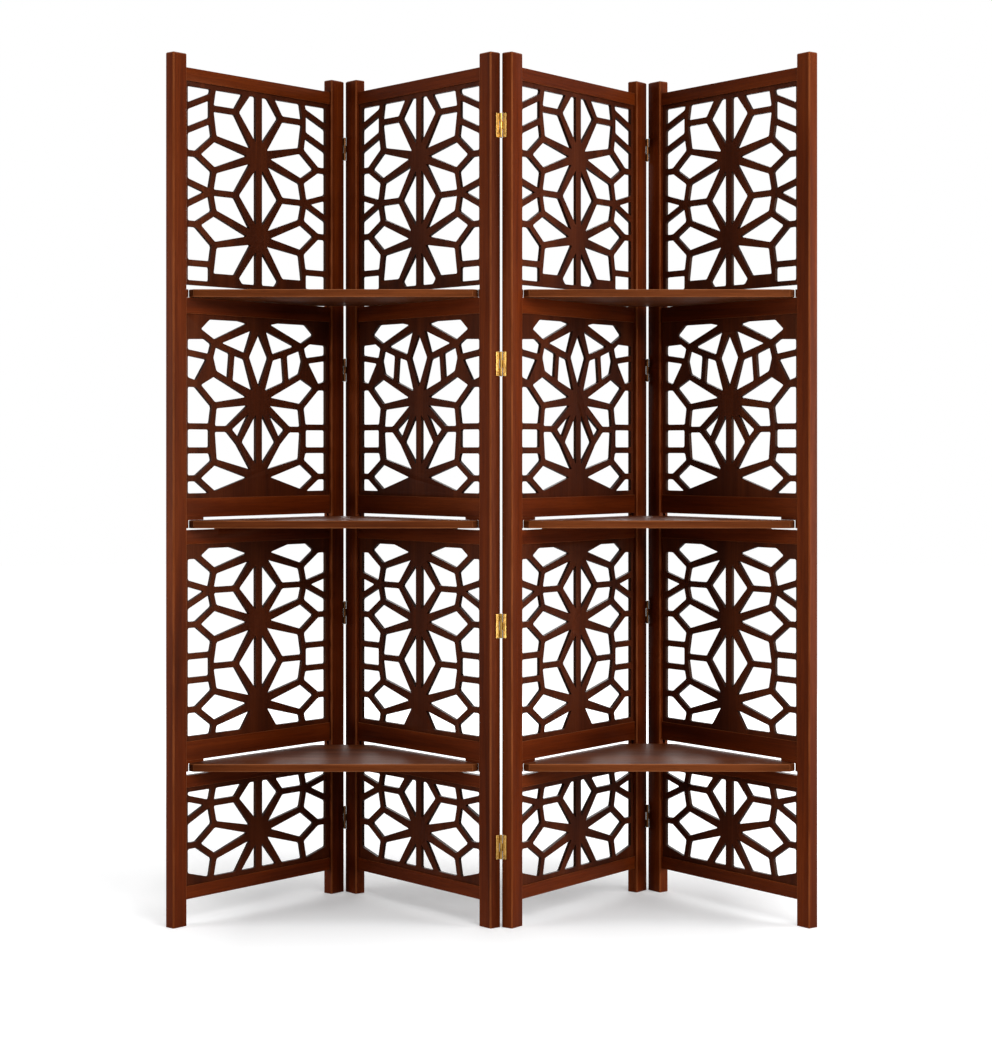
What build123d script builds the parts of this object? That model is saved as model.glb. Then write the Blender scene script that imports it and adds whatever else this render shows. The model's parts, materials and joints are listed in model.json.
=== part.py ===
from build123d import *
import os
from math import cos, hypot, radians, sin

# A four-panel folding jali screen with a bay of three corner shelves in each of its two V's.
# Millimetres and degrees. The model stands on z = 0, with +Z up and its open bays towards -Y.
# Panels are named a, b, c, d from left to right, as the screen is seen from the front.

# ---- the screen as a whole ----
HEIGHT = 1800.0         # length of every stile
PITCH = 500.0           # hinge pin to hinge pin across one panel
LEFT_FOLD = 49.5        # how far panels a and b turn away from the X axis
RIGHT_FOLD = 52.5       # the same for panels c and d, which stand a little tighter
PIN_GAP = 2.0           # pin axis to the stile's end face, and to the panel face it folds on

# ---- panel frames ----
STILE_WIDTH = 37.0
STILE_DEPTH = 25.0
ARRIS = 2.0             # chamfer along the stiles' edges and round their tops
HORN = 27.0             # stile above the top rail
FOOT = 53.0             # stile below the bottom rail
RAIL_DEPTH = 14.0       # rails stand back from both faces of the stiles
END_RAIL = 27.0         # height of the top and bottom rails
UNDER_RAIL = 33.0       # height of the rail under a shelf
OVER_RAIL = 40.0        # height of the rail above a shelf
GROOVE = 6.0            # depth of the groove that holds the frets and the stub tenons

# ---- shelves ----
SHELF_LEVELS = (1298.0, 820.0, 317.0)   # undersides of the shelves, from the top down
SHELF_DEPTH = 16.0
SHELF_GAP = 0.4         # air under a shelf, so that the panels turn freely beneath it
SLOT = 22.0             # open height of a slot above its shelf's underside
TOP_SLOT = 26.0         # the highest slot, which has a fret's free edge above it
SHELF_BITE = 20.0       # how far a shelf's side edge goes past the pin line into a panel
SHELF_BACK = 47.0       # cut-off back edge to the pin line, clear of the stiles as they turn
SHELF_PLAY = 1.5        # sideways room as a shelf slides out between the front stiles
SHELF_CLIP = 11.0       # clipped front corners

# ---- fret-cut jali ----
FRET_DEPTH = 7.0
STRIP = 13.0            # width of the pierced strips
BORDER = 10.0           # width of the rim that shows inside the frame
FLARE = 11.0            # how much solid the widening strips add about each hub
SMALLEST_HOLE = 440.0   # holes of less area than this are left uncut
RING = 127.0            # hubs to the upright strips that join the shoulders of their kites
KNOT = 137.0            # hubs to the middle of those strips, which bow outwards
TIP = 176.0             # hubs to the outer tips of their kites
SHOULDER = 34.0         # half the width of a kite
RIM = 212.0             # hubs to the place under the rim where the outermost strips end

# ---- butt hinges ----
HINGE_LEVELS = (1650.0, 1159.0, 620.0, 165.0)
HINGE_LENGTH = 50.0
LEAF_WIDTH = 16.0       # pin axis to a leaf's far edge
LEAF_DEPTH = 1.2
KNUCKLE_RADIUS = 3.0
BORE_RADIUS = 1.7
PIN_RADIUS = 1.5        # its corners turn freely inside the flats of the bore
KNUCKLE_GAP = 0.3       # end play between knuckles
BARREL_SIDES = 8        # flats on pins, bores and knuckles, which keep twelve hinges light

MID = PITCH / 2
STILE_INNER = PIN_GAP + STILE_WIDTH
RAIL_LENGTH = PITCH - 2 * STILE_INNER
TOP_RAIL = (HEIGHT - HORN - END_RAIL, HEIGHT - HORN)
BOTTOM_RAIL = (FOOT, FOOT + END_RAIL)
UNDER_RAILS = [(level - SHELF_GAP - UNDER_RAIL, level - SHELF_GAP) for level in SHELF_LEVELS]
OVER_RAILS = [(level + SLOT, level + SLOT + OVER_RAIL) for level in SHELF_LEVELS[1:]]

# The lowest and highest visible edge of each tier of fretwork, from the top down.
TIERS = (
    (SHELF_LEVELS[0] + TOP_SLOT, TOP_RAIL[0]),
    (OVER_RAILS[0][1], UNDER_RAILS[0][0]),
    (OVER_RAILS[1][1], UNDER_RAILS[1][0]),
    (BOTTOM_RAIL[1], UNDER_RAILS[2][0]),
)


# ---------------------------------------------------------------- fretwork

class Star:
    """A hub on the fret's middle line, and the right-hand one of its two sideways kites."""

    def __init__(self, level, tilt=0.0):
        self.level = level
        self.hub = (0, level)
        self.low_shoulder = (RING, level + tilt - SHOULDER)
        self.high_shoulder = (RING, level + tilt + SHOULDER)
        self.tip = (TIP, level + 1.5 * tilt)
        self.kite = [self.hub, self.low_shoulder, self.tip, self.high_shoulder]


def spoke(low, high):
    """Right-hand cells between two stars that an upright spoke joins."""
    middle = (low.level + high.level) / 2
    waist, knot = (66, middle), (KNOT, middle)
    return [
        [low.hub, waist, high.hub],
        [low.hub, low.high_shoulder, knot, waist],
        [high.hub, waist, knot, high.low_shoulder],
    ]


def forked_spoke(low, high):
    """The same, with one more strip that forks off below the upper hub."""
    middle = (low.level + high.level) / 2
    waist, fork, knot = (58, middle - 8), (88, middle + 20), (KNOT - 4, middle + 20)
    return [
        [low.hub, waist, high.hub],
        [waist, fork, high.hub],
        [fork, knot, high.low_shoulder, high.hub],
        [low.hub, low.high_shoulder, knot, fork, waist],
    ]


def diamond(low, high):
    """Cells between two stars that have an upright diamond between them."""
    middle = (low.level + high.level) / 2
    point, crook, knot = (36, middle + 8), (76, middle + 18), (KNOT, middle + 4)
    elbow = (0.65 * RING, low.level + 0.65 * (low.high_shoulder[1] - low.level))
    return [
        [low.hub, point, high.hub, (-point[0], point[1])],
        [point, high.low_shoulder, high.hub],
        [low.hub, elbow, crook, point],
        [elbow, low.high_shoulder, knot, high.low_shoulder, crook],
    ]


def rungs(low, high, fall=0.0):
    """Rim cells between two stars: two strips cross to the rim, and fall on their way there."""
    middle = (low.level + high.level) / 2
    elbow_low, elbow_high = (KNOT - 3, middle - 25), (KNOT - 3, middle + 25)
    rim_low, rim_high = (RIM, middle - 25 - fall), (RIM, middle + 25 - fall)
    return [
        [low.high_shoulder, low.tip, (RIM, low.tip[1]), rim_low, elbow_low],
        [elbow_low, rim_low, rim_high, elbow_high],
        [elbow_high, rim_high, (RIM, high.tip[1]), high.tip, high.low_shoulder],
    ]


def falling_rungs(low, high):
    """Rungs that slope down to the rim."""
    return rungs(low, high, 32)


def fan(low, high):
    """Rim cells of two strips that spread from the knot to the rim."""
    middle = (low.level + high.level) / 2
    knot, rim_low, rim_high = (KNOT, middle), (RIM, middle - 34), (RIM, middle + 20)
    return [
        [low.high_shoulder, low.tip, (RIM, low.tip[1]), rim_low, knot],
        [knot, rim_low, rim_high],
        [knot, rim_high, (RIM, high.tip[1]), high.tip, high.low_shoulder],
    ]


def braced(low, high):
    """Rim cells beside a diamond: strips run from its outer knot to the rim and the lower tip."""
    middle = (low.level + high.level) / 2
    knot = (KNOT, middle + 4)
    brace = (KNOT + 14, high.low_shoulder[1] + 14)
    return [
        [knot, low.tip, (RIM, low.tip[1] + 10), (RIM, middle + 14)],
        [knot, (RIM, middle + 14), (RIM, middle + 46), brace, high.low_shoulder],
    ]


def inset(corners, distance):
    """Corners of an anticlockwise outline, after every edge has moved inwards by distance."""
    moved = []
    for (ax, ay), (bx, by), (cx, cy) in zip(corners[-1:] + corners, corners, corners[1:] + corners[:1]):
        before, after = hypot(bx - ax, by - ay), hypot(cx - bx, cy - by)
        n1x, n1y = (ay - by) / before, (bx - ax) / before
        n2x, n2y = (by - cy) / after, (cx - bx) / after
        reach = distance / (1 + n1x * n2x + n1y * n2y)
        moved.append((bx + reach * (n1x + n2x), by + reach * (n1y + n2y)))
    return moved


def flared(cell):
    """The cell with its hub corners drawn back, so that the strips widen into a solid hub."""
    middle_x = sum(x for x, _ in cell) / len(cell)
    middle_y = sum(y for _, y in cell) / len(cell)
    corners = []
    for x, y in cell:
        if x == 0:
            step = FLARE / hypot(middle_x - x, middle_y - y)
            x, y = x + step * (middle_x - x), y + step * (middle_y - y)
        corners.append((x, y))
    return corners


def fret_holes(stars, gaps, window):
    """Faces of the holes that leave strips of one width along every cell's edges.

    stars stand bottom up, and gaps gives the cells between each of them and the next.
    """
    cells = [star.kite for star in stars]
    for low, high, makers in zip(stars, stars[1:], gaps):
        for cells_between in makers:
            cells += cells_between(low, high)
    outlines = [flared(cell) for cell in cells]
    outlines += [[(-x, y) for x, y in reversed(cell)] for cell in outlines if min(cell)[0] > 0]
    holes = []
    for cell in outlines:
        corners = inset([(MID + x, y) for x, y in cell], STRIP / 2)
        hole = make_face(Polyline(*corners, close=True)) & window
        holes += [face for face in hole.faces() if face.area > SMALLEST_HOLE]
    return holes


def fret(tier, stars, *gaps):
    """One fret-cut panel: its rim enters the grooves, and the highest one has a free lower edge."""
    bottom, top = TIERS[tier]
    low = bottom if tier == 0 else bottom - GROOVE
    high = top + GROOVE
    blank = Pos(MID, (low + high) / 2) * Rectangle(RAIL_LENGTH + 2 * GROOVE, high - low)
    window = Pos(MID, (bottom + top) / 2) * Rectangle(
        RAIL_LENGTH - 2 * BORDER, top - bottom - 2 * BORDER
    )
    pierced = blank - fret_holes(stars, gaps, window)
    upright = Plane.XZ.offset(-(STILE_DEPTH + FRET_DEPTH) / 2)
    return upright * extrude(pierced, FRET_DEPTH)


def frets():
    """The four tiers of jali, top down: stars with their kites' tilts, and the gaps between them."""
    return [
        fret(0, [Star(1257), Star(1433, 12), Star(1609, -8), Star(1785)],
             (spoke, rungs), (spoke, fan), (spoke, falling_rungs)),
        fret(1, [Star(757), Star(923), Star(1089, 20), Star(1254, -14)],
             (spoke, rungs), (forked_spoke, rungs), (diamond, braced)),
        fret(2, [Star(271), Star(443), Star(615, 3), Star(762)],
             (spoke, rungs), (spoke, rungs), (spoke, fan)),
        fret(3, [Star(-4), Star(168, -4), Star(318)],
             (spoke, fan), (spoke, fan)),
    ]


# ---------------------------------------------------------------- frame members

def stile(left):
    """A stile with eased edges, and the groove along its inner face."""
    x = PIN_GAP + STILE_WIDTH / 2 if left else PITCH - PIN_GAP - STILE_WIDTH / 2
    post = Pos(x, STILE_DEPTH / 2, HEIGHT / 2) * Box(STILE_WIDTH, STILE_DEPTH, HEIGHT)
    eased = post.edges().filter_by(Axis.Z) + post.faces().sort_by(Axis.Z)[-1].edges()
    post = chamfer(eased, ARRIS)
    low, high = BOTTOM_RAIL[0], TOP_RAIL[1]
    inner = STILE_INNER - GROOVE / 2 if left else PITCH - STILE_INNER + GROOVE / 2
    groove = Pos(inner, STILE_DEPTH / 2, (low + high) / 2) * Box(GROOVE, FRET_DEPTH, high - low)
    return post - groove


def rail(span, groove_below, groove_above):
    """A rail between the stiles, with stub tenons, and a groove on each edge that meets a fret."""
    low, high = span
    bar = Pos(MID, STILE_DEPTH / 2, (low + high) / 2) * Box(RAIL_LENGTH, RAIL_DEPTH, high - low)
    tongue_low = low + (GROOVE if groove_below else 0)
    tongue_high = high - (GROOVE if groove_above else 0)
    for grooved, z in ((groove_below, low + GROOVE / 2), (groove_above, high - GROOVE / 2)):
        if grooved:
            bar -= Pos(MID, STILE_DEPTH / 2, z) * Box(RAIL_LENGTH, FRET_DEPTH, GROOVE)
    tenons = Pos(MID, STILE_DEPTH / 2, (tongue_low + tongue_high) / 2) * Box(
        RAIL_LENGTH + 2 * GROOVE, FRET_DEPTH, tongue_high - tongue_low
    )
    return bar + tenons


def panel_frame():
    """Solids of one panel's frame, by node name."""
    return {
        "stile_left": [stile(True)],
        "stile_right": [stile(False)],
        "rail_top": [rail(TOP_RAIL, True, False)],
        "rail_bottom": [rail(BOTTOM_RAIL, False, True)],
        "rail_shelf_1": [rail(UNDER_RAILS[0], True, False)],
        "rails_shelf_2": [rail(UNDER_RAILS[1], True, False), rail(OVER_RAILS[0], False, True)],
        "rails_shelf_3": [rail(UNDER_RAILS[2], True, False), rail(OVER_RAILS[1], False, True)],
    }


# ---------------------------------------------------------------- hinges

def knuckle_spans(outer):
    """Lower and upper ends of a leaf's knuckles: the two at the hinge's ends, or the middle one."""
    third, play = HINGE_LENGTH / 3, KNUCKLE_GAP / 2
    if outer:
        return [(0, third - play), (2 * third + play, HINGE_LENGTH)]
    return [(third + play, 2 * third - play)]


def barrel(radius, low, high):
    """A many-sided bar about the pin axis: radius reaches its corners."""
    return Pos(0, 0, low) * extrude(RegularPolygon(radius, BARREL_SIDES), high - low)


def hinge_leaf(outer):
    """A leaf about its pin axis: it lies on x = PIN_GAP and reaches along +Y from the pin."""
    reach = KNUCKLE_RADIUS + 0.4
    plate = Pos(PIN_GAP - LEAF_DEPTH, reach) * Box(
        LEAF_DEPTH, LEAF_WIDTH - reach, HINGE_LENGTH, align=Align.MIN
    )
    for low, high in knuckle_spans(outer):
        plate += Pos(PIN_GAP - LEAF_DEPTH, 0, low) * Box(
            LEAF_DEPTH, reach, high - low, align=Align.MIN
        )
        plate += barrel(KNUCKLE_RADIUS, low, high)
        plate -= barrel(BORE_RADIUS, low, high)
    return plate


def hinge_pin():
    """The loose pin, a little longer than the knuckles it joins."""
    return barrel(PIN_RADIUS, -0.5, HINGE_LENGTH + 0.5)


def at_hinge_levels(solid):
    """Four copies of a hinge piece, one at each hinge along a joint."""
    return [Pos(0, 0, level - HINGE_LENGTH / 2) * solid for level in HINGE_LEVELS]


def mounted_leaf(outer, left, pin_depth):
    """Leaves on a stile's end face: left says which end, pin_depth the pin's place through it."""
    leaf = hinge_leaf(outer)
    if pin_depth > 0:
        leaf = mirror(leaf, Plane.XZ)
    if not left:
        leaf = mirror(leaf, Plane.YZ)
    return [Pos(0 if left else PITCH, pin_depth) * copy for copy in at_hinge_levels(leaf)]


# ---------------------------------------------------------------- shelves

def bay_point(fold, along, into):
    """A point of a bay's right-hand panel: along it from the pin line, and into its depth."""
    turn = radians(fold)
    return (
        along * cos(turn) + into * sin(turn),
        into * cos(turn) - along * sin(turn),
    )


def shelf(fold):
    """A corner shelf about its bay's pin line, with its front towards -Y."""
    inner_x, inner_y = bay_point(fold, PITCH - STILE_INNER, PIN_GAP)
    half_width = inner_x - SHELF_PLAY
    front = inner_y + 2 * SHELF_PLAY
    turn = radians(fold)
    back_along = (SHELF_BACK + SHELF_BITE * cos(turn)) / sin(turn)
    side_along = (half_width - SHELF_BITE * sin(turn)) / cos(turn)
    right = [
        (bay_point(fold, back_along, SHELF_BITE)[0], -SHELF_BACK),
        (half_width, bay_point(fold, side_along, SHELF_BITE)[1]),
        (half_width, front + SHELF_CLIP),
        (half_width - SHELF_CLIP, front),
    ]
    left = [(-x, y) for x, y in reversed(right)]
    board = extrude(make_face(Polyline(*right, *left, close=True)), SHELF_DEPTH)
    return chamfer(board.edges().filter_by(Axis.Z, reverse=True), 1)


# ---------------------------------------------------------------- the standing screen

FRONT, BACK = -PIN_GAP, STILE_DEPTH + PIN_GAP


def hung(pin, turn, end, depth):
    """Placement of a panel turned by turn, whose pin at (end, depth) stands on the given pin."""
    return Pos(*pin) * Rot(0, 0, turn) * Pos(-end, -depth, 0)


def pin_of(place, end, depth):
    """World place of a placed panel's pin."""
    point = (place * Pos(end, depth, 0)).position
    return (point.X, point.Y, 0)


def zigzag(centre_pin):
    """Placements of the four panels and the two back pins, from the centre hinge's pin."""
    b = hung(centre_pin, -LEFT_FOLD, PITCH, BACK)
    left_pin = pin_of(b, 0, FRONT)
    a = hung(left_pin, LEFT_FOLD, PITCH, FRONT)
    c = hung(centre_pin, RIGHT_FOLD, 0, BACK)
    right_pin = pin_of(c, PITCH, FRONT)
    d = hung(right_pin, -RIGHT_FOLD, 0, FRONT)
    return {"a": a, "b": b, "c": c, "d": d}, left_pin, right_pin


def screen(centre_pin=(0, 0, 0)):
    """Every node's solids in place."""
    places, left_pin, right_pin = zigzag(centre_pin)
    members = panel_frame()
    for number, piece in enumerate(frets(), 1):
        members[f"fret_{number}"] = [piece]
    nodes = {
        f"panel_{panel}_{name}": [place * solid for solid in solids]
        for panel, place in places.items()
        for name, solids in members.items()
    }
    for number, level in enumerate(SHELF_LEVELS, 1):
        nodes[f"shelf_left_{number}"] = [Pos(*left_pin) * Pos(0, 0, level) * shelf(LEFT_FOLD)]
        nodes[f"shelf_right_{number}"] = [Pos(*right_pin) * Pos(0, 0, level) * shelf(RIGHT_FOLD)]
    for joint, pin, depth in (("ab", left_pin, FRONT), ("bc", centre_pin, BACK), ("cd", right_pin, FRONT)):
        first, second = joint
        leaves = {first: mounted_leaf(True, False, depth), second: mounted_leaf(False, True, depth)}
        for panel, copies in leaves.items():
            nodes[f"hinge_{joint}_leaf_{panel}"] = [places[panel] * leaf for leaf in copies]
        nodes[f"hinge_{joint}_pins"] = [Pos(*pin) * copy for copy in at_hinge_levels(hinge_pin())]
    return nodes


def centre_pin_place():
    """Place of the centre hinge's pin that puts the screen's box over the origin."""
    places, _, _ = zigzag((0, 0, 0))
    stiles = [place * stile(left) for place in places.values() for left in (True, False)]
    box = Compound(children=stiles).bounding_box()
    return (-box.center().X, -box.center().Y, 0)


def main():
    os.makedirs("parts", exist_ok=True)
    for name, solids in screen(centre_pin_place()).items():
        body = solids[0] if len(solids) == 1 else Compound(children=solids)
        export_step(body, f"parts/{name}.step")


main()
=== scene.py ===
"""A folding jali screen: four fret-cut panels, brass butt hinges and six corner shelves.

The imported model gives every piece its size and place. Here each board gets eased edges,
a grain that runs along it and a walnut stain, and each hinge its round knuckles and screws.
"""

import json
import logging
import math
from collections.abc import Callable, Iterable
from dataclasses import dataclass
from enum import Enum
from typing import Any

import bmesh
import bpy
from mathutils import Matrix, Vector

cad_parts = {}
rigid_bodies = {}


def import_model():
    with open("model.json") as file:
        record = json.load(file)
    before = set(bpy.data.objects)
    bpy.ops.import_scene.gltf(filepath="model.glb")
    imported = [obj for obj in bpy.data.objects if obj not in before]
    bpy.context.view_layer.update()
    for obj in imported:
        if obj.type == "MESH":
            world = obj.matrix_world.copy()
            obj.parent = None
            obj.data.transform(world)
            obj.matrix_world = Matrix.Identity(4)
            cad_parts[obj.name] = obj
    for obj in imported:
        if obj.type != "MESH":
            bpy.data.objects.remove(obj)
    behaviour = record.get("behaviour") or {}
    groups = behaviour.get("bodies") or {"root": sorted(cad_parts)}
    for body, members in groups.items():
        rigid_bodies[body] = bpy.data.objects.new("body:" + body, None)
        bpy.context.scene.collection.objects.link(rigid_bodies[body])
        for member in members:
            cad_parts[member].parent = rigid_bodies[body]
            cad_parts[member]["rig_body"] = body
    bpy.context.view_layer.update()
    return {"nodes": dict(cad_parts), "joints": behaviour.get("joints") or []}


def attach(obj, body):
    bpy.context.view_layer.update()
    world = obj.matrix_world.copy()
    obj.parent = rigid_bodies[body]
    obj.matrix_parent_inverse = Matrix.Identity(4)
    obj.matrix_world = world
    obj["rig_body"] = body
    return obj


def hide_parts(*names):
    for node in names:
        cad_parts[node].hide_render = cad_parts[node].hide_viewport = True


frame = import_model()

MM = 0.001
UP = Vector((0, 0, 1))
WELD_REACH = 0.002 * MM
CUT_SLOPE = 0.1 * MM
CORNER_ANGLE = 0.3
SAME_WAY = 0.99
log = logging.getLogger("jali_screen")


class Slot(Enum):
    """Material slots of the record."""

    FRAME = "frame_wood"
    FRET = "fret_wood"
    SHELF = "shelf_wood"
    BRASS = "brass"


class End(Enum):
    """Which end of a panel a hinge leaf is screwed to."""

    LEFT = 1
    RIGHT = -1


class Face(Enum):
    """Which face of a panel a hinge's pin stands at."""

    FRONT = 1
    BACK = -1


class WearAndPaintedLight(Enum):
    """How a face is painted apart from its board: above zero paler, partly from rubbing and partly
    as painted highlight; below zero darker, as painted shade and on the screw heads.
    """

    # Below zero: painted shade on the frets' cut sides and rims, the screw recesses and the leaf
    # beside each knuckle; the screw heads are painted darker.
    PAINTED_SHADE = -1.0
    SHADED_RIM = -0.85
    SCREW = -0.55
    NONE = 0.0
    # Above zero: paler colour on eased edges and slanted faces, partly from rubbing and partly as
    # painted highlight.
    RUBBED_AND_HIGHLIGHT = 0.55
    SHELF_EDGE = 0.6
    STILE_EDGE = 0.8


# ---------------------------------------------------------------- sizes that several parts share

HINGE_LEVELS = (1650 * MM, 1159 * MM, 620 * MM, 165 * MM)
HINGE_LENGTH = 50 * MM
PIN_GAP = 2 * MM
LEAF_DEPTH = 1.2 * MM
SHELF_LEVELS = {1: 1298 * MM, 2: 820 * MM, 3: 317 * MM}
SHELF_DEPTH = 16 * MM
BLOCK_HEIGHTS = {1: 16 * MM, 2: 22 * MM, 3: 22 * MM}
LOWERED_ENDS = {2: (92 * MM, 3.5 * MM), 3: (76 * MM, 8 * MM)}


@dataclass(frozen=True)
class Fold:
    """Where one panel's right end is hinged to the next one's left end."""

    joint: str
    letters: str
    face: Face

    @property
    def pin(self) -> Vector:
        """Give the foot of the pins' line."""
        place = next(j["pos_m"] for j in frame["joints"] if j["name"] == self.joint)
        return Vector((place[0], place[1], 0))


FOLDS = (Fold("fold_left", "ab", Face.FRONT), Fold("fold_centre", "bc", Face.BACK),
         Fold("fold_right", "cd", Face.FRONT))
TURNS = {"a": 49.5, "b": -49.5, "c": 52.5, "d": -52.5}


# ---------------------------------------------------------------- finishes


class Graph:
    """A material's node tree, built up one node at a time."""

    def __init__(self, name: str) -> None:
        """Start an empty material.

        Args:
            name: The finish's name.
        """
        self.material = bpy.data.materials.new(name)
        self.material.use_nodes = True
        self.tree = self.material.node_tree
        self.tree.nodes.clear()

    def add(self, kind: str, inputs: dict[Any, Any] | None = None,
            **settings: Any) -> bpy.types.Node:
        """Add one node.

        Args:
            kind: The node's type, without its ShaderNode prefix.
            inputs: Values or output sockets, by the name or number of the input they go to.
            **settings: Properties of the node.

        Returns:
            The new node.
        """
        node = self.tree.nodes.new("ShaderNode" + kind)
        for key, value in settings.items():
            setattr(node, key, value)
        for key, value in (inputs or {}).items():
            if isinstance(value, bpy.types.NodeSocket):
                self.tree.links.new(value, node.inputs[key])
            else:
                node.inputs[key].default_value = value
        return node

    def attribute(self, name: str, output: str) -> bpy.types.NodeSocket:
        """Read a mark that the piece's own mesh carries."""
        return self.add("Attribute", attribute_name=name).outputs[output]

    def noise(self, vector: bpy.types.NodeSocket, stretch: tuple[float, float, float],
              detail: float = 3.0, distortion: float = 0.0) -> bpy.types.NodeSocket:
        """Add noise that is stretched along the board.

        Args:
            vector: The coordinates to read.
            stretch: Noise cells per metre along, across and through the board.
            detail: Octaves of finer noise.
            distortion: How far the pattern is warped.

        Returns:
            The noise's value.
        """
        mapping = self.add("Mapping", {"Vector": vector, "Scale": stretch})
        return self.add("TexNoise", {"Vector": mapping.outputs[0], "Scale": 1.0, "Detail": detail,
                                     "Roughness": 0.6, "Distortion": distortion}).outputs[0]

    def remap(self, value: bpy.types.NodeSocket, source: tuple[float, float],
              target: tuple[float, float]) -> bpy.types.NodeSocket:
        """Stretch a value from one range to another, and clamp it there."""
        return self.add("MapRange", {0: value, 1: source[0], 2: source[1],
                                     3: target[0], 4: target[1]}).outputs[0]

    def times(self, first: bpy.types.NodeSocket, second: Any) -> bpy.types.NodeSocket:
        """Multiply two values."""
        return self.add("Math", {0: first, 1: second}, operation="MULTIPLY").outputs[0]

    def ramp(self, value: bpy.types.NodeSocket,
             stops: Iterable[tuple[float, tuple[float, float, float]]]) -> bpy.types.NodeSocket:
        """Turn a value into a colour.

        Args:
            value: Where on the ramp to read.
            stops: Places along the ramp with their colours.

        Returns:
            The colour.
        """
        node = self.add("ValToRGB", {0: value})
        elements = node.color_ramp.elements
        for index, (place, colour) in enumerate(stops):
            stop = elements[index] if index < len(elements) else elements.new(place)
            stop.position, stop.color = place, (*colour, 1)
        return node.outputs[0]

    def mix(self, amount: Any, first: Any, second: Any, blend: str = "MIX") -> bpy.types.NodeSocket:
        """Blend two colours.

        Args:
            amount: How much of the second colour comes in.
            first: The colour below.
            second: The colour above.
            blend: How they blend.

        Returns:
            The blended colour.
        """
        return self.add("Mix", {0: amount, 6: first, 7: second},
                        data_type="RGBA", blend_type=blend).outputs[2]

    def output(self, shader: bpy.types.NodeSocket) -> bpy.types.Material:
        """Connect the finished shader and give the material."""
        self.add("OutputMaterial", {"Surface": shader})
        return self.material


@dataclass(frozen=True)
class Stain:
    """A walnut stain under satin lacquer, with the grain of the board showing through."""

    name: str
    pale: tuple[float, float, float]
    middle: tuple[float, float, float]
    dark: tuple[float, float, float]
    # Paler colour for eased edges: partly from rubbing, partly painted highlight.
    worn_and_highlight: tuple[float, float, float]
    # Dark colour of painted shade on the frets' cut sides and rims.
    shade_colour: tuple[float, float, float] = (0.016, 0.0042, 0.0022)
    roughness: tuple[float, float] = (0.36, 0.52)
    specular: float = 0.07
    gloss_tint: tuple[float, float, float] = (1.0, 0.62, 0.38)
    figure: float = 26.0
    pores: float = 0.5

    def material(self) -> bpy.types.Material:
        """Build the stained wood.

        Returns:
            A material that reads the board of each piece and its marks of rubbing, painted
            highlight and painted shade.
        """
        g = Graph(self.name)
        board = g.attribute("board", "Vector")
        streaks = g.noise(board, (1.3, self.figure, self.figure), 5.0, 0.35)
        fibres = g.noise(board, (9.0, 320.0, 320.0), 3.0)
        pores = g.noise(board, (38.0, 1500.0, 1500.0), 1.0)
        clouds = g.noise(board, (1.1, 3.1, 3.1), 2.0)
        colour = g.ramp(g.remap(streaks, (0.30, 0.70), (0.0, 1.0)),
                        [(0.0, self.dark), (0.5, self.middle), (1.0, self.pale)])
        shade = g.ramp(g.remap(fibres, (0.30, 0.72), (0.0, 1.0)),
                       [(0.0, (0.66, 0.63, 0.60)), (1.0, (1.10, 1.10, 1.10))])
        colour = g.mix(0.75, colour, shade, "MULTIPLY")
        cloud = g.ramp(g.remap(clouds, (0.30, 0.70), (0.0, 1.0)),
                       [(0.0, (0.78, 0.75, 0.72)), (1.0, (1.16, 1.17, 1.18))])
        colour = g.mix(0.8, colour, cloud, "MULTIPLY")
        pore = g.remap(pores, (0.60, 0.72), (0.0, self.pores))
        colour = g.mix(pore, colour, (*(0.45 * c for c in self.dark), 1))
        # Faces marked above zero are painted paler in patches: partly from rubbing, partly as
        # painted highlight.
        patchy_paler = g.remap(g.noise(board, (7.0, 60.0, 60.0), 4.0), (0.36, 0.62), (0.35, 1.0))
        mark = g.attribute("wear_and_light", "Fac")
        paler = g.times(g.remap(mark, (0.0, 1.0), (0.0, 1.0)), patchy_paler)
        colour = g.mix(paler, colour, (*self.worn_and_highlight, 1))
        # Faces marked below zero are painted dark, as painted shade.
        colour = g.mix(g.remap(mark, (-1.0, 0.0), (1.0, 0.0)), colour, (*self.shade_colour, 1))
        gloss = g.remap(fibres, (0.25, 0.75), (self.roughness[1], self.roughness[0]))
        relief = g.mix(0.5, fibres, g.remap(pores, (0.58, 0.72), (1.0, 0.0)))
        bump = g.add("Bump", {"Height": relief, "Strength": 0.28, "Distance": 0.0004})
        shader = g.add("BsdfPrincipled", {"Base Color": colour, "Roughness": gloss,
                                          "Specular IOR Level": self.specular,
                                          "Specular Tint": (*self.gloss_tint, 1),
                                          "Normal": bump.outputs[0]})
        return g.output(shader.outputs[0])


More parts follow.
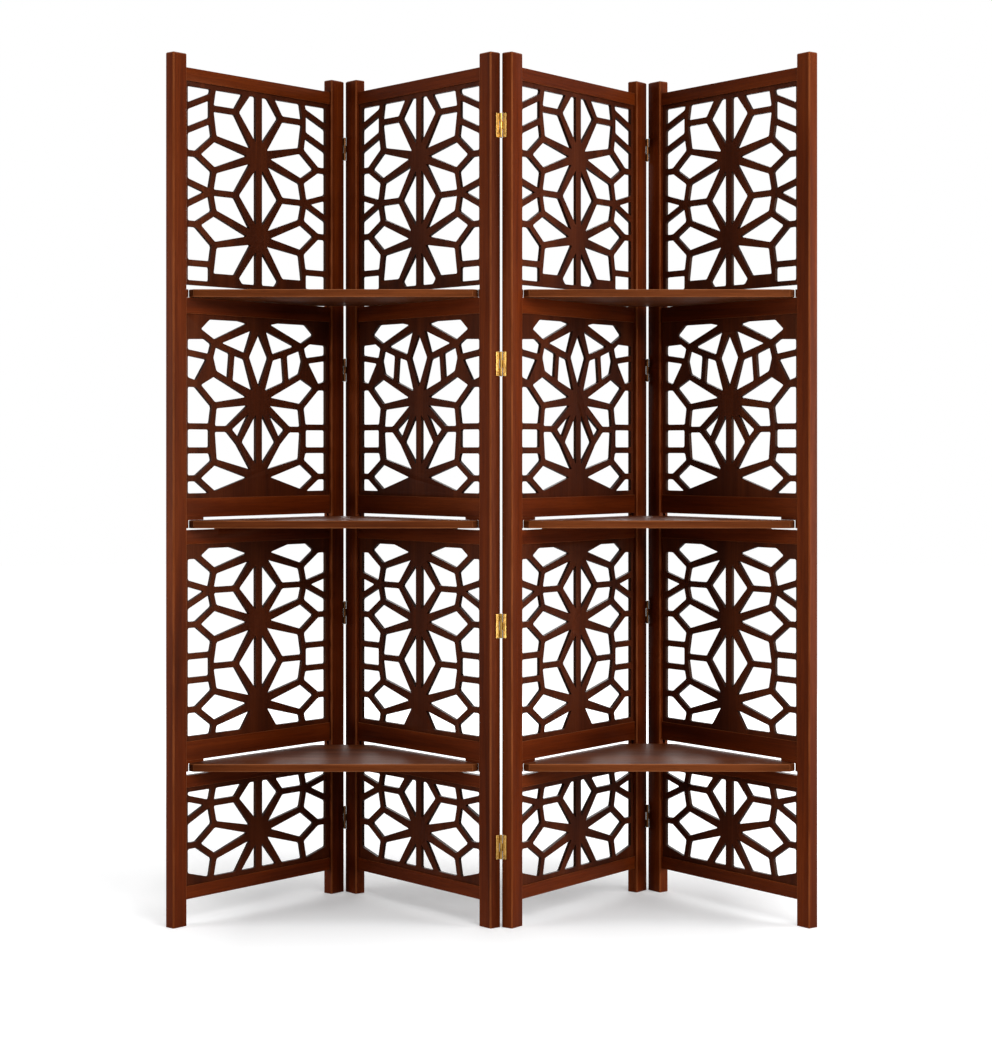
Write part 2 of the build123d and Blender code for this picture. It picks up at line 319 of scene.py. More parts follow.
@dataclass(frozen=True)
class Brass:
    """Satin brass with blotches of tarnish, painted shade beside its knuckles and in its screw
    recesses, and darker screw heads.
    """

    name: str
    bright: tuple[float, float, float] = (0.60, 0.36, 0.095)
    tarnish: tuple[float, float, float] = (0.20, 0.095, 0.022)
    # Dark colour of painted shade beside the knuckles and in the screw recesses; screw heads are
    # mixed part way to it.
    shade_and_screw_colour: tuple[float, float, float] = (0.030, 0.013, 0.005)

    def material(self) -> bpy.types.Material:
        """Build the brass.

        Returns:
            A metal with blotches of tarnish and fine scratches along Z.
        """
        g = Graph(self.name)
        place = g.add("TexCoord").outputs["Object"]
        blotches = g.noise(place, (130.0, 130.0, 70.0), 5.0, 0.4)
        scratches = g.noise(place, (2600.0, 2600.0, 130.0), 2.0)
        browned = g.remap(blotches, (0.46, 0.70), (0.0, 0.85))
        colour = g.mix(browned, (*self.bright, 1), (*self.tarnish, 1))
        # Painted shade beside the knuckles and in the screw recesses, and darker screw heads.
        corners = g.remap(g.attribute("wear_and_light", "Fac"), (-1.0, 0.0), (0.85, 0.0))
        colour = g.mix(corners, colour, (*self.shade_and_screw_colour, 1))
        rough = g.remap(blotches, (0.35, 0.70), (0.26, 0.50))
        bump = g.add("Bump", {"Height": scratches, "Strength": 0.12, "Distance": 0.0001})
        shader = g.add("BsdfPrincipled", {"Base Color": colour, "Metallic": 1.0, "Roughness": rough,
                                          "Normal": bump.outputs[0]})
        return g.output(shader.outputs[0])


FRAME_STAIN = Stain("walnut_stained_frame", (0.140, 0.0240, 0.0030), (0.093, 0.0130, 0.0013),
                    (0.048, 0.0059, 0.0007), (0.25, 0.070, 0.020))
# The frets' stain is darker than the frame's: partly their own tone, partly painted shade of the
# frets inside the frame.
FRET_STAIN = Stain("walnut_stained_fret", (0.084, 0.0165, 0.0042), (0.055, 0.0096, 0.0024),
                   (0.030, 0.0047, 0.0013), (0.15, 0.040, 0.012), figure=18.0, pores=0.3)
SHELF_STAIN = Stain("walnut_stained_shelf", (0.185, 0.0500, 0.0140), (0.128, 0.0315, 0.0082),
                    (0.072, 0.0160, 0.0042), (0.37, 0.125, 0.044), figure=20.0)
FRONT_BRASS = Brass("aged_brass")
# A darker copy of the brass for the hinges at the back of the two bays, as painted shade.
BACK_BRASS = Brass("painted_shade_brass", (0.150, 0.062, 0.022), (0.050, 0.019, 0.008))


# ---------------------------------------------------------------- the bench


class Workpiece:
    """One piece on the bench: a mesh that is shaped, marked and then finished."""

    def __init__(self) -> None:
        """Start with nothing."""
        self.bm = bmesh.new()

    @classmethod
    def copied(cls, node: str) -> "Workpiece":
        """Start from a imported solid.

        Args:
            node: The solid's node.

        Returns:
            A copy of it, with its loose triangles joined into flat faces.
        """
        piece = cls()
        piece.bm.from_mesh(frame["nodes"][node].data)
        bmesh.ops.remove_doubles(piece.bm, verts=piece.bm.verts[:], dist=WELD_REACH)
        bmesh.ops.dissolve_limit(piece.bm, angle_limit=math.radians(0.5),
                                 use_dissolve_boundaries=False,
                                 verts=piece.bm.verts[:], edges=piece.bm.edges[:])
        return piece

    def wear_and_light_layer(self) -> bmesh.types.BMLayerItem:
        """Give the layer that says how far each face is painted paler, from rubbing and as painted
        highlight, and how far darker, as painted shade and on screw heads.
        """
        layers = self.bm.faces.layers.float
        return layers.get("wear_and_light") or layers.new("wear_and_light")

    def bevel(self, edges: Iterable[bmesh.types.BMEdge], width: float, segments: int,
              wear_and_light: WearAndPaintedLight = WearAndPaintedLight.NONE) -> None:
        """Round some edges over.

        Args:
            edges: The edges.
            width: How far the rounding reaches, in metres.
            segments: Flats across the rounding.
            wear_and_light: How its new faces are painted: paler from rubbing and as painted
                highlight, darker as painted shade.
        """
        layer = self.wear_and_light_layer()
        made = bmesh.ops.bevel(self.bm, geom=list(edges), offset=width, segments=segments,
                               profile=0.5, affect="EDGES", clamp_overlap=True, material=-1)
        for face in made["faces"]:
            face[layer] = wear_and_light.value

    def slice(self, place: Vector, way: Vector) -> None:
        """Part every face that a plane crosses, and keep both sides."""
        bmesh.ops.bisect_plane(self.bm, geom=self.bm.verts[:] + self.bm.edges[:] + self.bm.faces[:],
                               plane_co=place, plane_no=way)

    def add_block(self, low: Vector, high: Vector, place: Matrix = Matrix()) -> None:
        """Add a straight block between two corners.

        Args:
            low: Its lowest corner.
            high: Its highest corner.
            place: From the block's own axes to the screen's.
        """
        own = Matrix.Translation((low + high) / 2) @ Matrix.Diagonal((*(high - low), 1))
        verts = bmesh.ops.create_cube(self.bm, size=1, matrix=place @ own)["verts"]
        faces = {face for vert in verts for face in vert.link_faces}
        bmesh.ops.recalc_face_normals(self.bm, faces=list(faces))

    def sharp_edges(self, keep: Callable[[bmesh.types.BMEdge], bool] = lambda edge: True
                    ) -> list[bmesh.types.BMEdge]:
        """Find the outward corners.

        Args:
            keep: A test that an edge has to pass as well.

        Returns:
            The edges at which two faces turn outwards.
        """
        return [edge for edge in self.bm.edges
                if edge.is_manifold and edge.is_convex
                and edge.calc_face_angle() > CORNER_ANGLE and keep(edge)]

    def mark_board(self, along: Vector, across: Vector, seed: float) -> None:
        """Give the board its own place in the figure of the wood.

        Args:
            along: The way the grain runs.
            across: The way the board is wide.
            seed: A number that no other board has.
        """
        layer = self.bm.verts.layers.float_vector.new("board")
        through = along.cross(across)
        shift = Vector((seed * 1.73, seed * 0.61, seed * 0.37))
        for vert in self.bm.verts:
            place = vert.co
            vert[layer] = Vector((place.dot(along), place.dot(across), place.dot(through))) + shift

    def smooth(self, limit: float = 40.0) -> None:
        """Shade curved faces smoothly, and keep corners over the limit sharp."""
        for face in self.bm.faces:
            face.smooth = True
        for edge in self.bm.edges:
            edge.smooth = edge.is_manifold and edge.calc_face_angle() < math.radians(limit)

    def finish(self, name: str, node: str, slot: Slot,
               material: bpy.types.Material) -> bpy.types.Object:
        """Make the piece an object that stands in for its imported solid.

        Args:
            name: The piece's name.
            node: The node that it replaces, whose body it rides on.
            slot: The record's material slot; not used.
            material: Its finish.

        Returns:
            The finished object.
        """
        mesh = bpy.data.meshes.new(name)
        self.bm.to_mesh(mesh)
        self.bm.free()
        mesh.materials.append(material)
        piece = bpy.data.objects.new(name, mesh)
        bpy.context.scene.collection.objects.link(piece)
        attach(piece, frame["nodes"][node]["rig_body"])
        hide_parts(node)
        return piece


# ---------------------------------------------------------------- panels


@dataclass
class Panel:
    """One leaf of the screen: two stiles, seven rails and four frets.

    Places on it are told from its pins: how far along the panel, how far through it, and how high.
    """

    letter: str
    turn: float
    arris: float = 0.5 * MM
    rail_arris: float = 0.7 * MM
    fret_arris: float = 1.1 * MM
    fret_corner: float = 3.0 * MM
    stile_inside: float = 461 * MM
    rail_front: float = 7.5 * MM
    rail_back: float = 21.5 * MM
    shelf_side: float = 452.6 * MM
    packer_length: float = 50 * MM
    packer_play: float = 0.6 * MM
    rail_top_band: tuple[float, float] = (3 * MM, 0.2 * MM)
    planed_corner: float = 6.05 * MM
    planed_slant: float = 0.95
    knuckle_room: float = 6 * MM
    bed_play: float = 0.3 * MM
    hole_angle: float = 0.2

    @property
    def along(self) -> Vector:
        """Give the way from the panel's left stile to its right one."""
        return Vector((math.cos(math.radians(self.turn)), math.sin(math.radians(self.turn)), 0))

    @property
    def through(self) -> Vector:
        """Give the way from the panel's front to its back."""
        return UP.cross(self.along)

    @property
    def seed(self) -> float:
        """Give a number for this panel's boards."""
        return 1.0 + 7.3 * "abcd".index(self.letter)

    @property
    def bay_end(self) -> End:
        """Give the end that is hinged at the back of a bay."""
        return End.RIGHT if self.letter in "ac" else End.LEFT

    def node(self, part: str) -> str:
        """Name one of the panel's nodes."""
        return f"panel_{self.letter}_{part}"

    def fold_at(self, end: End) -> Fold | None:
        """Find the fold at one end of the panel, if it has one."""
        mate = 0 if end is End.RIGHT else 1
        return next((fold for fold in FOLDS if fold.letters[mate] == self.letter), None)

    def place_from(self, fold: Fold, end: End) -> Matrix:
        """Give the axes that start at a fold's pins.

        Args:
            fold: The fold.
            end: The end of the panel that it is at.

        Returns:
            The matrix from them to the screen's axes: x into the panel, y through it, z up.
        """
        axes = (end.value * self.along, fold.face.value * self.through, UP)
        place = Matrix(axes).transposed().to_4x4()
        place.translation = fold.pin
        return place

    def plane_end(self, piece: Workpiece, place: Matrix) -> None:
        """Plane a hinged end a little out of square, so that the fold closes at its pins.

        Args:
            piece: The stile.
            place: The axes of its fold's pins.
        """
        inverse = place.inverted()
        for vert in piece.bm.verts:
            x, y, z = inverse @ vert.co
            if x + y < self.planed_corner:
                vert.co = place @ Vector((PIN_GAP - LEAF_DEPTH, PIN_GAP, z))
        bmesh.ops.remove_doubles(piece.bm, verts=piece.bm.verts[:], dist=WELD_REACH)

    def let_in_leaves(self, piece: Workpiece, place: Matrix) -> None:
        """Cut the shallow beds of the hinge leaves into a planed end.

        Args:
            piece: The stile.
            place: The axes of its fold's pins.
        """
        inverse = place.inverted()
        reach = HINGE_LENGTH / 2 + self.bed_play
        for level in HINGE_LEVELS:
            for height in (-reach - CUT_SLOPE, -reach, reach, reach + CUT_SLOPE):
                piece.slice(Vector((0, 0, level + height)), UP)
            for vert in piece.bm.verts:
                if abs(vert.co.z - level) < reach + CUT_SLOPE / 2:
                    x, y, z = inverse @ vert.co
                    x = max(x, PIN_GAP)
                    ease = max(0, self.knuckle_room - x - y) / 2
                    vert.co = place @ Vector((x + ease, y + ease, z))

    def make_stile(self, part: str, end: End, seed: float,
                   stain: bpy.types.Material) -> bpy.types.Object:
        """Make a stile, with the grain running up it.

        Args:
            part: The stile's name in the panel.
            end: The end of the panel that it stands at.
            seed: A number that no other board has.
            stain: Its finish.

        Returns:
            The stile.
        """
        piece = Workpiece.copied(self.node(part))
        fold = self.fold_at(end)
        if fold:
            self.plane_end(piece, self.place_from(fold, end))
        # Slanted faces and eased edges are painted paler: partly from rubbing, partly as painted
        # highlight.
        layer = piece.wear_and_light_layer()
        for face in piece.bm.faces:
            square = max(abs(face.normal.dot(way)) for way in (self.along, self.through, UP))
            face[layer] = (WearAndPaintedLight.RUBBED_AND_HIGHLIGHT if square < self.planed_slant else WearAndPaintedLight.NONE).value
        piece.bevel(piece.sharp_edges(), self.arris, 2, WearAndPaintedLight.STILE_EDGE)
        if fold:
            self.let_in_leaves(piece, self.place_from(fold, end))
        piece.mark_board(UP, self.along, seed)
        return piece.finish(f"{self.node(part)}.wood", self.node(part), Slot.FRAME, stain)

    def close_slot(self, piece: Workpiece, number: int) -> None:
        """Fill a shelf's slot beside the front stile, as far as the moving shelf lets it.

        Args:
            piece: The rail or rails of the slot.
            number: The shelf's number.
        """
        place = self.place_from(self.fold_at(self.bay_end), self.bay_end)
        under, over = SHELF_LEVELS[number], SHELF_LEVELS[number] + BLOCK_HEIGHTS[number]
        piece.add_block(Vector((self.shelf_side, self.rail_front, under)),
                        Vector((self.stile_inside, self.rail_back, over)), place)
        if BLOCK_HEIGHTS[number] > SHELF_DEPTH:
            start = self.stile_inside - self.packer_length
            foot = under + SHELF_DEPTH + self.packer_play
            piece.add_block(Vector((start, self.rail_front, foot)),
                            Vector((self.shelf_side, self.rail_back, over)), place)

    def lower_rail_end(self, piece: Workpiece, number: int) -> None:
        """Cut down the end of the rail under a shelf, beside the front stile.

        Args:
            piece: The rails of the slot.
            number: The shelf's number.
        """
        length, depth = LOWERED_ENDS[number]
        place = self.place_from(self.fold_at(self.bay_end), self.bay_end)
        start = self.stile_inside - length
        for step in (0, CUT_SLOPE):
            piece.slice(place @ Vector((start - step, 0, 0)), self.along)
        inverse = place.inverted()
        low, high = (SHELF_LEVELS[number] - below for below in self.rail_top_band)
        for vert in piece.bm.verts:
            if (inverse @ vert.co).x > start - CUT_SLOPE / 2 and low < vert.co.z < high:
                vert.co.z -= depth

    def make_rail(self, part: str, seed: float, stain: bpy.types.Material) -> bpy.types.Object:
        """Make a rail, with the grain running along it.

        Args:
            part: The rail's name in the panel.
            seed: A number that no other board has.
            stain: Its finish.

        Returns:
            The rail, or the pair of rails round a shelf's slot.
        """
        piece = Workpiece.copied(self.node(part))
        number = int(part[-1]) if "shelf" in part else 0
        # The eased edges are painted paler: partly from rubbing, partly as painted highlight.
        piece.bevel(piece.sharp_edges(), self.rail_arris, 2, WearAndPaintedLight.RUBBED_AND_HIGHLIGHT)
        if number:
            self.close_slot(piece, number)
        if number in LOWERED_ENDS:
            self.lower_rail_end(piece, number)
        piece.mark_board(self.along, UP, seed)
        return piece.finish(f"{self.node(part)}.wood", self.node(part), Slot.FRAME, stain)

    def is_hole_corner(self, edge: bmesh.types.BMEdge) -> bool:
        """Tell whether an edge is an inward corner that runs through the fret."""
        way = (edge.verts[0].co - edge.verts[1].co).normalized()
        return (edge.is_manifold and not edge.is_convex
                and edge.calc_face_angle() > self.hole_angle
                and abs(way.dot(self.through)) > SAME_WAY)

    def is_rim(self, edge: bmesh.types.BMEdge) -> bool:
        """Tell whether an edge lies between the fret's face and a cut side."""
        flat = [abs(face.normal.dot(self.through)) > SAME_WAY for face in edge.link_faces]
        return sorted(flat) == [False, True]

    def make_fret(self, part: str, seed: float, stain: bpy.types.Material) -> bpy.types.Object:
        """Make a fret, with corners as round as the cutter, eased rims, and cut sides and rims
        painted dark as painted shade.

        Args:
            part: The fret's name in the panel.
            seed: A number that no other board has.
            stain: Its finish.

        Returns:
            The fret.
        """
        piece = Workpiece.copied(self.node(part))
        corners = [edge for edge in piece.bm.edges if self.is_hole_corner(edge)]
        piece.bevel(corners, self.fret_corner, 2)
        # The cut sides and eased rims are painted dark, as painted shade.
        layer = piece.wear_and_light_layer()
        for face in piece.bm.faces:
            inside = abs(face.normal.dot(self.through)) < 0.5
            face[layer] = (WearAndPaintedLight.PAINTED_SHADE if inside else WearAndPaintedLight.NONE).value
        piece.bevel(piece.sharp_edges(self.is_rim), self.fret_arris, 2, WearAndPaintedLight.SHADED_RIM)
        piece.mark_board(UP, self.along, seed)
        return piece.finish(f"{self.node(part)}.wood", self.node(part), Slot.FRET, stain)

    def build(self, frame_stain: bpy.types.Material,
              fret_stain: bpy.types.Material) -> list[bpy.types.Object]:
        """Make every board of the panel.

        Args:
            frame_stain: The finish of stiles and rails.
            fret_stain: The finish of the frets.

        Returns:
            The panel's pieces.
        """
        stiles = (("stile_left", End.LEFT), ("stile_right", End.RIGHT))
        rails = ("rail_top", "rail_shelf_1", "rails_shelf_2", "rails_shelf_3", "rail_bottom")
        pieces = [self.make_stile(part, end, self.seed + step, frame_stain)
                  for step, (part, end) in enumerate(stiles)]
        pieces += [self.make_rail(part, self.seed + 2.1 + step, frame_stain)
                   for step, part in enumerate(rails)]
        pieces += [self.make_fret(f"fret_{number}", self.seed + 0.4 * number, fret_stain)
                   for number in (1, 2, 3, 4)]
        return pieces


@dataclass
class Shelf:
    """A corner shelf with a lacquered top and eased edges painted paler, partly from rubbing and
    partly as painted highlight.
    """

    side: str
    number: int
    arris: float = 0.8 * MM

    def build(self, stain: bpy.types.Material) -> bpy.types.Object:
        """Make the shelf, with the grain running from side to side.

        Args:
            stain: Its finish.

        Returns:
            The shelf.
        """
        node = f"shelf_{self.side}_{self.number}"
        piece = Workpiece.copied(node)
        # The eased edges are painted paler: partly from rubbing, partly as painted highlight.
        piece.bevel(piece.sharp_edges(), self.arris, 2, WearAndPaintedLight.SHELF_EDGE)
        seed = 40.0 + 3.1 * self.number + (0.0 if self.side == "left" else 11.7)
        piece.mark_board(Vector((1, 0, 0)), Vector((0, 1, 0)), seed)
        return piece.finish(f"{node}.wood", node, Slot.SHELF, stain)


# ---------------------------------------------------------------- hinges


@dataclass
class Hinge:
    """Four butt hinges along one joint: two leaves with knuckles, screws and a loose pin."""

    fold: Fold
    length: float = HINGE_LENGTH
    width: float = 12.5 * MM
    thickness: float = LEAF_DEPTH
    gap: float = PIN_GAP
    knuckle: float = 3 * MM
    bore: float = 1.7 * MM
    pin: float = 1.5 * MM
    play: float = 0.3 * MM
    pin_ease: float = 0.25 * MM
    pin_head: float = 0.5 * MM
    pin_core: float = 0.02 * MM
    pin_weld: float = 0.05 * MM
    knuckle_ease: float = 0.3 * MM
    knuckle_clear: float = 0.4 * MM
    root: float = 1.6 * MM
    corner: float = 1.2 * MM
    edge: float = 0.15 * MM
    screw: float = 1.8 * MM
    screw_sides: int = 20
    screw_height: float = 0.25 * MM
    recess: float = 0.9 * MM
    screws: tuple[tuple[float, float], ...] = ((0.15, 8.9 * MM), (0.5, 7.9 * MM), (0.85, 8.9 * MM))
    steps: int = 32

    def knuckle_spans(self, outer: bool) -> list[tuple[float, float]]:
        """Give the ends of a leaf's knuckles.

        Args:
            outer: True for the leaf with the two end knuckles.

        Returns:
            Their lower and upper ends.
        """
        third, half = self.length / 3, self.play / 2
        if outer:
            return [(0, third - half), (2 * third + half, self.length)]
        return [(third + half, 2 * third - half)]

    def add_ring(self, piece: Workpiece, inner: float, outer: float, low: float, high: float,
                 ease: float) -> None:
        """Turn a tube about the pin's line, with its rims eased.

        Args:
            piece: The piece that gets it.
            inner: Radius of its bore.
            outer: Radius of its outside.
            low: Its lower end.
            high: Its upper end.
            ease: How much its outer rims are rounded.
        """
        outline = [(inner, low), (outer - ease, low), (outer, low + ease),
                   (outer, high - ease), (outer - ease, high), (inner, high)]
        verts = [piece.bm.verts.new((radius, 0, z)) for radius, z in outline]
        edges = [piece.bm.edges.new(pair) for pair in zip(verts, verts[1:] + verts[:1])]
        bmesh.ops.spin(piece.bm, geom=verts + edges, cent=(0, 0, 0), axis=UP, steps=self.steps,
                       angle=2 * math.pi, use_merge=True)

    def add_screw(self, piece: Workpiece, y: float, z: float) -> None:
        """Add a countersunk screw head with a cross recess.

        Args:
            piece: The leaf that it holds.
            y: Its place across the leaf.
            z: Its place along the leaf.
        """
        rim, crown = self.screw, 0.88 * self.screw
        arm, slit = 0.62 * self.screw, 0.16 * self.screw
        head = bmesh.new()
        bmesh.ops.create_cone(head, cap_ends=True, segments=self.screw_sides, radius1=rim,
                              radius2=crown, depth=self.screw_height)
        for way in ((1, 0, 0), (0, 1, 0)):
            for reach in (-arm, -slit, slit, arm):
                bmesh.ops.bisect_plane(head, geom=head.verts[:] + head.edges[:] + head.faces[:],
                                       plane_co=[reach * c for c in way], plane_no=way)
        cross = []
        for face in head.faces:
            x_off, y_off = (abs(c) for c in face.calc_center_median().xy)
            if face.normal.z > 0.9 and min(x_off, y_off) < slit and max(x_off, y_off) < arm:
                cross.append(face)
        sunk = bmesh.ops.extrude_face_region(head, geom=cross)["geom"]
        bmesh.ops.delete(head, geom=cross, context="FACES_ONLY")
        bmesh.ops.translate(head, vec=(0, 0, -self.recess),
                            verts=[item for item in sunk if isinstance(item, bmesh.types.BMVert)])
        # The cross recess is painted dark as painted shade; the rest of the head is painted darker.
        layer = head.faces.layers.float.new("wear_and_light")
        for face in head.faces:
            sunken = face.calc_center_median().z < 0
            face[layer] = (WearAndPaintedLight.PAINTED_SHADE if sunken else WearAndPaintedLight.SCREW).value
        # Every head stops at an angle of its own.
        turn = Matrix.Rotation(40 * (z / MM), 4, "Z")
        face_out = Matrix.Rotation(-math.pi / 2, 4, "Y")
        seat = Matrix.Translation((self.gap - self.thickness, y, z))
        bmesh.ops.transform(head, verts=head.verts[:], matrix=seat @ face_out @ turn)
        spare = bpy.data.meshes.new("screw_head")
        head.to_mesh(spare)
        head.free()
        piece.bm.from_mesh(spare)
        bpy.data.meshes.remove(spare)

    def leaf(self, outer: bool) -> Workpiece:
        """Shape one leaf about its pin: it lies on the stile's end face.

        Args:
            outer: True for the leaf with the two end knuckles.

        Returns:
            The leaf, with x away from the pin along the panel and y through the stile.
        """
        piece = Workpiece()
        near, far = self.gap - self.thickness, self.gap
        reach, root = self.knuckle + self.knuckle_clear, self.knuckle + self.root
        piece.add_block(Vector((near, reach, 0)), Vector((far, self.width, self.length)))
        corners = [edge for edge in piece.bm.edges
                   if all(vert.co.y > self.width - self.edge for vert in edge.verts)
                   and abs(edge.verts[0].co.x - edge.verts[1].co.x) > self.thickness / 2]
        piece.bevel(corners, self.corner, 4)
        piece.bevel(piece.sharp_edges(), self.edge, 1)
        # The strip of leaf beside the knuckle is painted dark, as painted shade where knuckle and
        # leaf meet.
        piece.slice(Vector((0, root, 0)), Vector((0, 1, 0)))
        layer = piece.wear_and_light_layer()
        for face in piece.bm.faces:
            in_knuckle_shade = face.calc_center_median().y < root
            face[layer] = (WearAndPaintedLight.PAINTED_SHADE if in_knuckle_shade else WearAndPaintedLight.NONE).value
        for low, high in self.knuckle_spans(outer):
            piece.add_block(Vector((near, 0, low)), Vector((far, reach, high)))
            self.add_ring(piece, self.bore, self.knuckle, low, high, self.knuckle_ease)
        for share, y in self.screws:
            self.add_screw(piece, y, share * self.length)
        bmesh.ops.recalc_face_normals(piece.bm, faces=piece.bm.faces[:])
        piece.smooth()
        return piece

    def repeated(self, piece: Workpiece, place: Matrix) -> Workpiece:
        """Copy a shape to every hinge along the joint.

        Args:
            piece: The shape about its pin, from z = 0 up.
            place: Where its pin stands, and how it is turned.

        Returns:
            All the copies as one piece.
        """
        spare = bpy.data.meshes.new("hinge_copy")
        piece.bm.to_mesh(spare)
        piece.bm.free()
        whole = Workpiece()
        for level in HINGE_LEVELS:
            start = len(whole.bm.verts)
            whole.bm.from_mesh(spare)
            whole.bm.verts.ensure_lookup_table()
            bmesh.ops.transform(whole.bm, verts=whole.bm.verts[start:],
                                matrix=Matrix.Translation((0, 0, level - self.length / 2)) @ place)
        bpy.data.meshes.remove(spare)
        if place.determinant() < 0:
            bmesh.ops.reverse_faces(whole.bm, faces=whole.bm.faces[:])
        return whole

    def build(self, panels: dict[str, Panel], brass: bpy.types.Material) -> list[bpy.types.Object]:
        """Make the joint's leaves and pins.

        Args:
            panels: The panels by letter.
            brass: The finish.

        Returns:
            Two pieces with the leaves and one with the pins.
        """
        pieces = []
        letters = self.fold.letters
        for letter, end, outer in zip(letters, (End.RIGHT, End.LEFT), (True, False)):
            node = f"hinge_{letters}_leaf_{letter}"
            leaves = self.repeated(self.leaf(outer), panels[letter].place_from(self.fold, end))
            pieces.append(leaves.finish(f"{node}.metal", node, Slot.BRASS, brass))
        pin = Workpiece()
        self.add_ring(pin, self.pin_core, self.pin, -self.pin_head, self.length + self.pin_head,
                      self.pin_ease)
        bmesh.ops.remove_doubles(pin.bm, verts=pin.bm.verts[:], dist=self.pin_weld)
        bmesh.ops.recalc_face_normals(pin.bm, faces=pin.bm.faces[:])
        pin.smooth()
        node = f"hinge_{letters}_pins"
        pins = self.repeated(pin, Matrix.Translation(self.fold.pin))
        pieces.append(pins.finish(f"{node}.metal", node, Slot.BRASS, brass))
        return pieces


# ---------------------------------------------------------------- studio


@dataclass(frozen=True)
class Lamp:
    """A soft square lamp that looks at one point."""

    name: str
    place: tuple[float, float, float]
    target: tuple[float, float, float]
    size: float
    power: float

    def build(self) -> None:
        """Hang the lamp."""
        data = bpy.data.lights.new(self.name, "AREA")
        data.shape, data.size, data.energy = "SQUARE", self.size, self.power
        lamp = bpy.data.objects.new(self.name, data)
        lamp.visible_camera = False
        lamp.location = self.place
        way = Vector(self.target) - Vector(self.place)
        lamp.rotation_euler = way.to_track_quat("-Z", "Y").to_euler()
        bpy.context.scene.collection.objects.link(lamp)


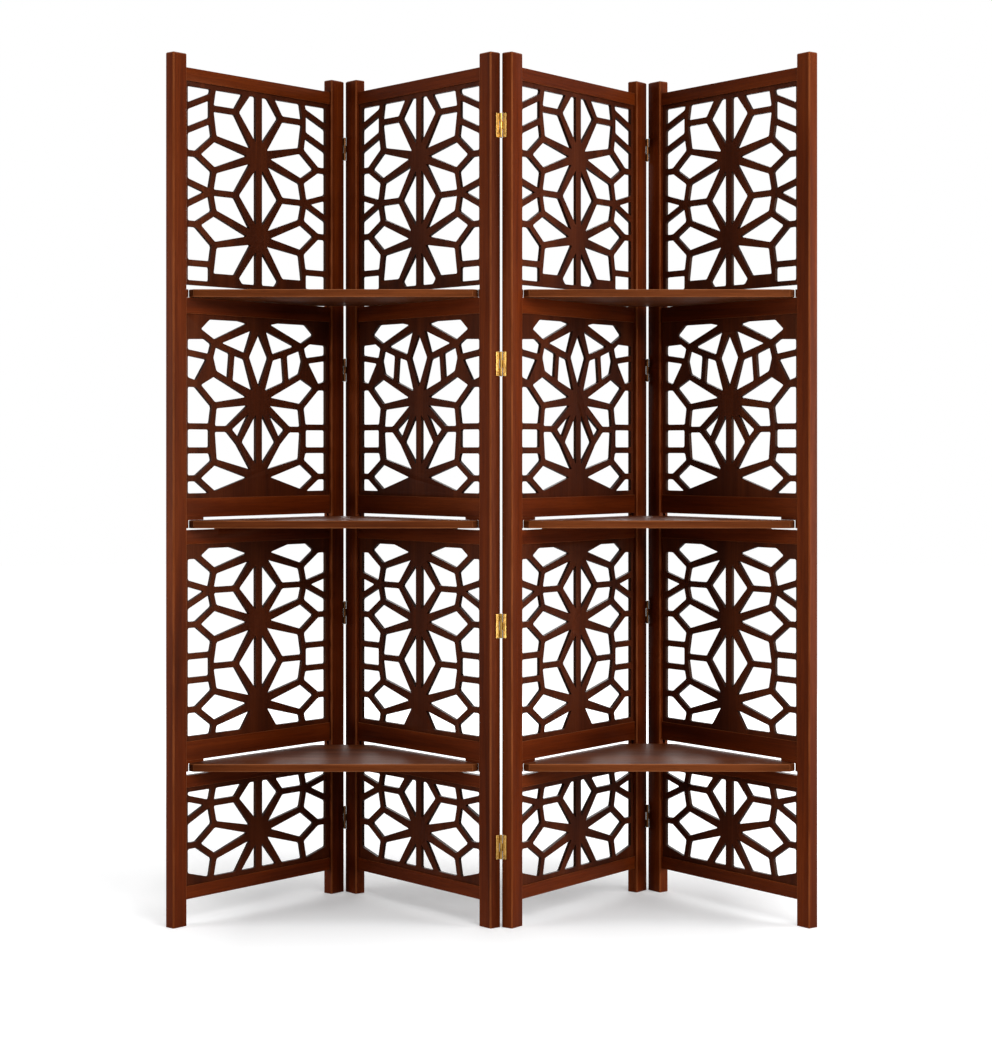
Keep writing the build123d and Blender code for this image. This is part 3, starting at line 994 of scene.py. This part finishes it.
@dataclass
class Studio:
    """A pale floor that fades to white, soft lamps, a plain white surround and the camera."""

    ambient: float = 0.03
    floor_radius: float = 14.0
    floor_colour: tuple[float, float, float] = (0.735, 0.74, 0.745)
    floor_glow: float = 0.20
    far_glow: float = 0.58
    side_fade: tuple[float, float] = (0.50, 0.80)
    front_fade: tuple[float, float] = (-0.10, -0.62)
    back_fade: tuple[float, float] = (0.10, 0.70)
    far_fade: tuple[float, float] = (0.9, 2.2)
    camera_place: tuple[float, float, float] = (0.0089, -4.6957, 0.9883)
    sensor: float = 36.0
    lens: float = 79.48
    lens_shift: float = -0.0848
    lamps: tuple[Lamp, ...] = (
        Lamp("key_lamp", (1.9, -3.4, 2.9), (0.0, 0.0, 0.9), 2.5, 135.0),
        Lamp("right_lamp", (3.2, -0.9, 1.0), (0.2, 0.0, 0.9), 1.8, 98.0),
        Lamp("left_lamp", (-3.2, -1.2, 0.9), (-0.2, 0.0, 0.9), 1.8, 74.0),
        Lamp("top_lamp", (0.0, -1.1, 3.6), (0.0, -0.2, 0.0), 2.4, 16.0),
        Lamp("back_lamp", (0.3, 3.4, 2.3), (0.0, 0.0, 0.8), 2.6, 70.0),
    )

    def build_surround(self) -> None:
        """Set a world that is white to look at and dim as a light."""
        world = bpy.data.worlds.new("white_surround")
        bpy.context.scene.world = world
        world.use_nodes = True
        tree = world.node_tree
        tree.nodes.clear()
        rays = tree.nodes.new("ShaderNodeLightPath")
        seen = tree.nodes.new("ShaderNodeMath")
        seen.operation = "MAXIMUM"
        either = tree.nodes.new("ShaderNodeMath")
        either.operation = "MAXIMUM"
        tree.links.new(rays.outputs["Is Camera Ray"], seen.inputs[0])
        tree.links.new(rays.outputs["Is Glossy Ray"], seen.inputs[1])
        tree.links.new(seen.outputs[0], either.inputs[0])
        tree.links.new(rays.outputs["Is Transmission Ray"], either.inputs[1])
        glow = tree.nodes.new("ShaderNodeMapRange")
        tree.links.new(either.outputs[0], glow.inputs[0])
        glow.inputs[3].default_value, glow.inputs[4].default_value = self.ambient, 1.0
        background = tree.nodes.new("ShaderNodeBackground")
        background.inputs[0].default_value = (1, 1, 1, 1)
        tree.links.new(glow.outputs[0], background.inputs[1])
        output = tree.nodes.new("ShaderNodeOutputWorld")
        tree.links.new(background.outputs[0], output.inputs[0])

    def build_floor(self) -> None:
        """Lay a pale disc that shows the screen's shadow and fades to white away from it."""
        g = Graph("pale_floor")
        place = g.add("TexCoord").outputs["Object"]
        x, y, _ = g.add("SeparateXYZ", {0: place}).outputs
        left_fade = (-self.side_fade[0], -self.side_fade[1])
        across = g.times(g.remap(x, self.side_fade, (1.0, 0.0)), g.remap(x, left_fade, (1.0, 0.0)))
        deep = g.times(g.remap(y, self.front_fade, (1.0, 0.0)),
                       g.remap(y, self.back_fade, (1.0, 0.0)))
        away = g.add("VectorMath", {0: place}, operation="LENGTH").outputs["Value"]
        patch = g.remap(g.times(across, deep), (0.0, 1.0), (self.far_glow, self.floor_glow))
        glow = g.add("Math", {0: patch, 1: g.remap(away, self.far_fade, (0.0, 1.0))},
                     operation="MAXIMUM").outputs[0]
        seen = g.add("LightPath").outputs["Is Camera Ray"]
        matt = g.add("BsdfDiffuse", {"Color": (*self.floor_colour, 1)})
        lit = g.add("Emission", {"Color": (1, 1, 1, 1), "Strength": g.times(seen, glow)})
        shader = g.add("AddShader", {0: matt.outputs[0], 1: lit.outputs[0]})
        bm = bmesh.new()
        bmesh.ops.create_circle(bm, cap_ends=True, segments=96, radius=self.floor_radius)
        mesh = bpy.data.meshes.new("floor")
        bm.to_mesh(mesh)
        bm.free()
        mesh.materials.append(g.output(shader.outputs[0]))
        floor = bpy.data.objects.new("floor", mesh)
        bpy.context.scene.collection.objects.link(floor)

    def build_camera(self) -> None:
        """Stand the camera level in front of the screen."""
        data = bpy.data.cameras.new("camera")
        data.sensor_fit, data.sensor_width = "HORIZONTAL", self.sensor
        data.lens, data.shift_y = self.lens, self.lens_shift
        camera = bpy.data.objects.new("camera", data)
        camera.location = self.camera_place
        camera.rotation_euler = (math.pi / 2, 0, 0)
        bpy.context.scene.collection.objects.link(camera)
        bpy.context.scene.camera = camera

    def build(self) -> None:
        """Set up the whole studio."""
        self.build_surround()
        self.build_floor()
        for lamp in self.lamps:
            lamp.build()
        self.build_camera()
        bpy.context.scene.view_settings.view_transform = "Standard"


# ---------------------------------------------------------------- the screen


def main() -> None:
    """Build the studio, then the panels, shelves and hinges of the screen."""
    logging.basicConfig(level=logging.INFO, format="%(message)s")
    Studio().build()
    frame_stain, fret_stain = FRAME_STAIN.material(), FRET_STAIN.material()
    shelf_stain = SHELF_STAIN.material()
    brass, shaded_brass = FRONT_BRASS.material(), BACK_BRASS.material()
    panels = {letter: Panel(letter, turn) for letter, turn in TURNS.items()}
    for panel in panels.values():
        made = panel.build(frame_stain, fret_stain)
        log.info("panel %s: %d pieces", panel.letter, len(made))
    for side in ("left", "right"):
        for number in SHELF_LEVELS:
            Shelf(side, number).build(shelf_stain)
    for fold in FOLDS:
        # The hinges at the back of the bays get the darker brass, as painted shade.
        made = Hinge(fold).build(panels, brass if fold.face is Face.BACK else shaded_brass)
        log.info("%s: %d pieces", fold.joint, len(made))


if __name__ == "__main__":
    main()
